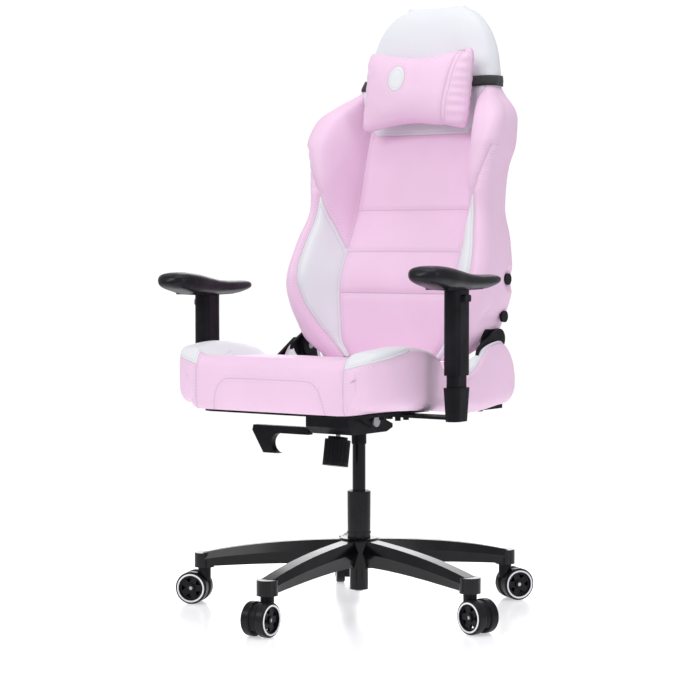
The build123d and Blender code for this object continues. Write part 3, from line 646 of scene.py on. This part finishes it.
# one soft diagonal fold across the middle
fold = np.exp(-((px + 0.5 * pz - 30) / 46) ** 2) * np.sin((px - 0.8 * pz) / 17)
push += 0.8 * fold * np.clip((90 - np.abs(pz)) / 60, 0, 1)
rings = rings + ringNormals(rings) * push[:, :, None]
lean = math.radians(pillow["lean"])
turned = rings.copy()
turned[:, :, 1] = rings[:, :, 1] * math.cos(lean) + rings[:, :, 2] * math.sin(lean)
turned[:, :, 2] = rings[:, :, 2] * math.cos(lean) - rings[:, :, 1] * math.sin(lean)
turned += np.array(pillow["centre"])
fromEmblem = np.hypot((px - emblem["x"]) / emblem["halfWidth"], (pz - emblem["z"]) / emblem["halfHeight"])
oval = np.where(py < 0, (1 - fromEmblem) * emblem["halfWidth"], -20.0)
pillowLayers = {"white": oval, "seamA": endSeam, "seamB": edgeSeam, "along": along}
pillowCover = gridMesh("neck_pillow_cover", turned, pillowLayers)
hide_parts("neck_pillow")
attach(pillowCover, "back")
print("neck pillow done")


# pillow strap
# a closed band round the head, made from the back cover's own rings
strap = {"low": 1134, "high": 1157, "thickness": 1.6, "lift": 2.0, "rows": 5}
rowHeights = backGrid[:, :, 2].mean(axis=1)
strapLevels = np.linspace(strap["low"], strap["high"], strap["rows"])


def strapRing(level, lift):
    index = int(np.argmin(np.abs(rowHeights - level)))
    normal = ringNormals(backGrid[index - 1:index + 2])[1]
    normal[:, 2] = 0
    normal /= np.linalg.norm(normal, axis=1, keepdims=True) + 1e-9
    ring = backGrid[index] + normal * lift
    ring[:, 2] = level
    return ring


inner = [strapRing(level, strap["lift"]) for level in strapLevels]
outer = [strapRing(level, strap["lift"] + strap["thickness"]) for level in strapLevels[::-1]]
bands = np.array(inner + outer + inner[:1])
steps = np.linalg.norm(np.diff(inner[0], axis=0), axis=1)
runs = np.tile(np.concatenate([[0], np.cumsum(steps)]), (len(bands), 1))
strapLayers = {"along": runs, "across": bands[:, :, 2] - strap["low"]}
strapBand = gridMesh("pillow_strap_band", bands, strapLayers, "strap_webbing", 0)
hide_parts("pillow_strap")
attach(strapBand, "back")
print("strap done")


# armrest pads
# edge is the roundness of the section (2 is an ellipse); dish is the dip for the forearm
pad = {"x": 322, "gap": 0.4, "edge": 2.6, "dish": 3.2, "flare": 3.0, "around": 56, "endCap": 1.5}
# heights are above the sleeve's top; each row is y, half width, underside, top
padStations = [
    (-258, 10, 17, 27), (-253, 24, 12, 35), (-240, 36, 6, 41), (-215, 44, 0, 43),
    (-185, 47, -6, 41), (-150, 46, -7.5, 35), (-118, 46, -8, 29), (-80, 46, -7.5, 26),
    (-45, 45, -6, 26), (-18, 42, -1, 25), (-4, 34, 3, 21), (2, 20, 7, 15),
]
padRows = np.concatenate([np.linspace(-258, -240, 9), np.linspace(-235, -12, 42), np.linspace(-9, 2, 7)])
padColumns = stationColumns(padStations, padRows)
angles = np.linspace(0, 2 * math.pi, pad["around"] + 1)[:-1]
cosine, sine = np.cos(angles), np.sin(angles)
for sideName, sign in (("left", 1), ("right", -1)):
    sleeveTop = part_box("arm_sleeve_" + sideName)[1][2] / mm
    rings = []
    for y, half, under, over in zip(padRows, *padColumns):
        power = 2 / pad["edge"]
        xs = half * np.sign(cosine) * np.abs(cosine) ** power
        zs = (over - under) / 2 * np.sign(sine) * np.abs(sine) ** (power * 1.1)
        zs += (under + over) / 2 + pad["flare"] * np.abs(xs / 46) ** 2.5
        zs -= pad["dish"] * np.exp(-(xs / 26) ** 2) * np.clip(sine, 0, 1) * math.exp(-((y + 70) / 62) ** 2)
        zs += sleeveTop + pad["gap"]
        rings.append(np.stack([xs + sign * pad["x"], np.full(xs.shape, y), zs], axis=1))
    ends = [rings[0].mean(axis=0) - (0, pad["endCap"], 0), rings[-1].mean(axis=0) + (0, pad["endCap"], 0)]
    frontEnd, rearEnd = [np.tile(end, (pad["around"], 1)) for end in ends]
    padSkin = gridMesh("arm_pad_" + sideName + "_skin", [frontEnd] + rings + [rearEnd], None, "pad_black")
    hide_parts("arm_pad_" + sideName)
    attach(padSkin, "arm_" + sideName)
print("pads done")


# white rings on the wheels
# outboard is how far a ring's middle lies from its wheel's middle; the section is in half widths and heights
trim = {"radius": 29.3, "halfWidth": 1.9, "height": 1.1, "outboard": 10.0, "steps": 72}
trimSection = [(-1, 0), (-0.75, 0.8), (0, 1), (0.75, 0.8), (1, 0), (0.9, -0.4), (-0.9, -0.4)]


def middleOf(name):
    low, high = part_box(name)
    return (Vector(low) + Vector(high)) / 2


def wheelTrim(name, centre, axle):
    work = bmesh.new()
    verts = [work.verts.new(((trim["radius"] + trim["halfWidth"] * a) * mm, 0, trim["height"] * b * mm))
             for a, b in trimSection]
    edges = [work.edges.new((vert, verts[(i + 1) % len(verts)])) for i, vert in enumerate(verts)]
    bmesh.ops.spin(work, geom=verts + edges, cent=(0, 0, 0), axis=(0, 0, 1), angle=2 * math.pi,
                   steps=trim["steps"], use_merge=True)
    turn = Vector((0, 0, 1)).rotation_difference(axle).to_matrix().to_4x4()
    work.transform(Matrix.Translation(centre + axle * trim["outboard"] * mm) @ turn)
    bmesh.ops.recalc_face_normals(work, faces=work.faces)
    return meshObject(name, work, "wheel_trim")


for number in range(1, 6):
    for letter, other in (("a", "b"), ("b", "a")):
        centre = middleOf(f"caster_{number}_wheel_{letter}")
        axle = (centre - middleOf(f"caster_{number}_wheel_{other}")).normalized()
        wheelRing = wheelTrim(f"caster_{number}_trim_{letter}", centre, axle)
        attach(wheelRing, f"wheel_{number}{letter}")
print("wheel rings done")


# floor, light and camera

def floorMaterial():
    # pale glossy floor that fades away with distance
    s = Shader("floor_white")
    s.set(color=(0.93, 0.93, 0.94, 1), rough=0.22, spec=0.35)
    reach = s.node("ShaderNodeVectorMath", {0: s.coord}, operation="LENGTH").outputs["Value"]
    clear = s.node("ShaderNodeBsdfTransparent").outputs[0]
    glow = s.node("ShaderNodeEmission", {"Color": (1, 1, 1, 1), "Strength": 0.42}).outputs[0]
    lit = s.node("ShaderNodeAddShader", {0: s.body.outputs[0], 1: glow}).outputs[0]
    fade = s.node("ShaderNodeMixShader", {0: s.remap(reach, 0.9, 2.2), 1: lit, 2: clear}).outputs[0]
    s.tree.links.new(fade, s.tree.nodes["Material Output"].inputs["Surface"])
    return s.mat


materials["floor_white"] = floorMaterial()
work = bmesh.new()
bmesh.ops.create_grid(work, x_segments=1, y_segments=1, size=9)
floor = meshObject("floor", work, "floor_white", smooth=False)


def areaLight(name, place, target, size, power, color=(1, 1, 1)):
    data = bpy.data.lights.new(name, "AREA")
    data.shape = "RECTANGLE"
    data.size, data.size_y = size
    data.energy = power
    data.color = color
    obj = bpy.data.objects.new(name, data)
    obj.location = place
    obj.rotation_euler = (Vector(target) - Vector(place)).to_track_quat("-Z", "Y").to_euler()
    scene.collection.objects.link(obj)
    return obj


areaLight("key", (-1.4, -3.6, 2.8), (0, 0, 0.7), (2.4, 2.0), 53)
areaLight("top", (0.2, -0.4, 3.4), (0, 0, 0.6), (2.4, 2.4), 27)
areaLight("right", (3.4, -0.6, 1.6), (0, 0, 0.6), (0.8, 2.4), 15, (0.95, 0.93, 1.0))
areaLight("back", (-1.8, 3.2, 2.2), (0, 0, 0.8), (2.0, 2.0), 22)
sweep = areaLight("sweep", (-1.9, 2.7, 0.75), (0, 0, 0.25), (3.4, 0.9), 16)
sweep.visible_camera = False

# the sky lights softly, while the camera sees plain white behind the chair
world = bpy.data.worlds.new("studio")
world.use_nodes = True
sky = world.node_tree
sky.nodes["Background"].inputs["Color"].default_value = (0.97, 0.97, 1.0, 1)
sky.nodes["Background"].inputs["Strength"].default_value = 0.56
seen = sky.nodes.new("ShaderNodeBackground")
seen.inputs["Color"].default_value = (1, 1, 1, 1)
seen.inputs["Strength"].default_value = 1.05
path = sky.nodes.new("ShaderNodeLightPath")
either = sky.nodes.new("ShaderNodeMixShader")
sky.links.new(path.outputs["Is Camera Ray"], either.inputs[0])
sky.links.new(sky.nodes["Background"].outputs[0], either.inputs[1])
sky.links.new(seen.outputs[0], either.inputs[2])
sky.links.new(either.outputs[0], sky.nodes["World Output"].inputs["Surface"])
scene.world = world
scene.view_settings.view_transform = "Standard"

# distance and height in metres, turn and tilt in degrees
view = {
    "turn": 35.0, "tilt": 2.79, "distance": 4.449, "height": 0.777,
    "lens": 106.8, "sensor": 36.0, "shift": -0.0128571,
}
turn = math.radians(view["turn"])
cameraData = bpy.data.cameras.new("camera")
cameraData.lens = view["lens"]
cameraData.sensor_width = view["sensor"]
cameraData.shift_x = view["shift"]
cameraData.clip_end = 60
camera = bpy.data.objects.new("camera", cameraData)
camera.location = (view["distance"] * math.sin(turn), -view["distance"] * math.cos(turn), view["height"])
camera.rotation_euler = (math.radians(90 - view["tilt"]), 0, turn)
scene.collection.objects.link(camera)
scene.camera = camera
print("stage done")
